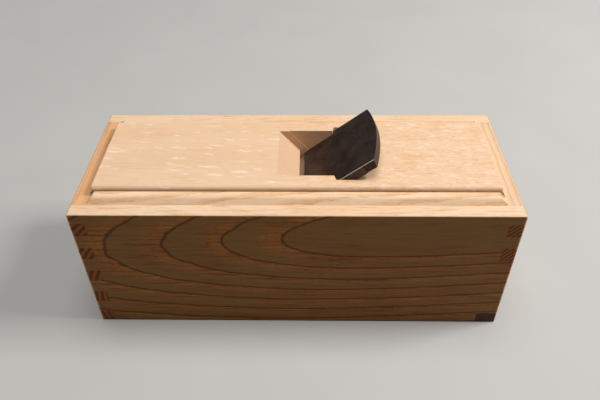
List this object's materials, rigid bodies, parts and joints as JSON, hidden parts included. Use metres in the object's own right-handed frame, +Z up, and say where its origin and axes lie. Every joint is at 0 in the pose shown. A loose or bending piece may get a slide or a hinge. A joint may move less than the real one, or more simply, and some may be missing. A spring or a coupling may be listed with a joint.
{
  "type": "hand plane",
  "caption": "Wooden pull plane with one thick iron, lying blade head up in the rim of a finger-jointed box with a drawer that catches its shavings.",
  "frame": {"origin": "middle of the box's underside, without the knob", "axes": "+X along the box towards the drawer, +Y across it, +Z up"},
  "size_m": [0.307, 0.115, 0.1317],
  "materials": {
    "ash": "planed and oiled ash",
    "oak_strip": "planed pale wood",
    "white_oak": "planed white oak with ray fleck",
    "drawer_wood": "planed, unfinished",
    "knob_wood": "turned and oiled",
    "bamboo": "split bamboo",
    "screw_brass": "satin",
    "blade_iron": "dark forge scale, ground at the bevel",
    "blade_steel": "dark scale, polished along the edge"
  },
  "bodies": {
    "box": {"back_drawer_kicker": "ash", "back_liner_strip": "oak_strip", "back_wall": "ash", "bottom_panel": "ash", "bottom_sill": "ash", "front_drawer_kicker": "ash", "front_liner_strip": "oak_strip", "front_wall": "ash", "kicker_pins": "bamboo", "left_end_wall": "ash", "left_plane_rest": "ash", "liner_pins": "bamboo", "rest_screws": "screw_brass", "right_end_panel": "ash", "right_plane_rest": "ash"},
    "drawer": {"drawer_back": "drawer_wood", "drawer_floor": "drawer_wood", "drawer_floor_pins": "bamboo", "drawer_front": "ash", "drawer_knob": "knob_wood", "drawer_side_far": "drawer_wood", "drawer_side_near": "drawer_wood", "drawer_side_pins": "bamboo", "knob_screw": "screw_brass", "knob_washer": "screw_brass"},
    "plane": {"plane_body": "white_oak"},
    "blade": {"blade_iron": "blade_iron", "blade_steel": "blade_steel"}
  },
  "joints": [
    {"name": "drawer_slide", "type": "slide", "parent": "box", "child": "drawer", "axis": [1, 0, 0], "range_m": [0, 0.25]},
    {"name": "plane_lift", "type": "slide", "parent": "box", "child": "plane", "axis": [0, 0, 1], "range_m": [0, 0.06]},
    {"name": "blade_slide", "type": "slide", "parent": "plane", "child": "blade", "axis": [0.7809, 0, 0.6247], "range_m": [-0.0005, 0.062]}
  ]
}
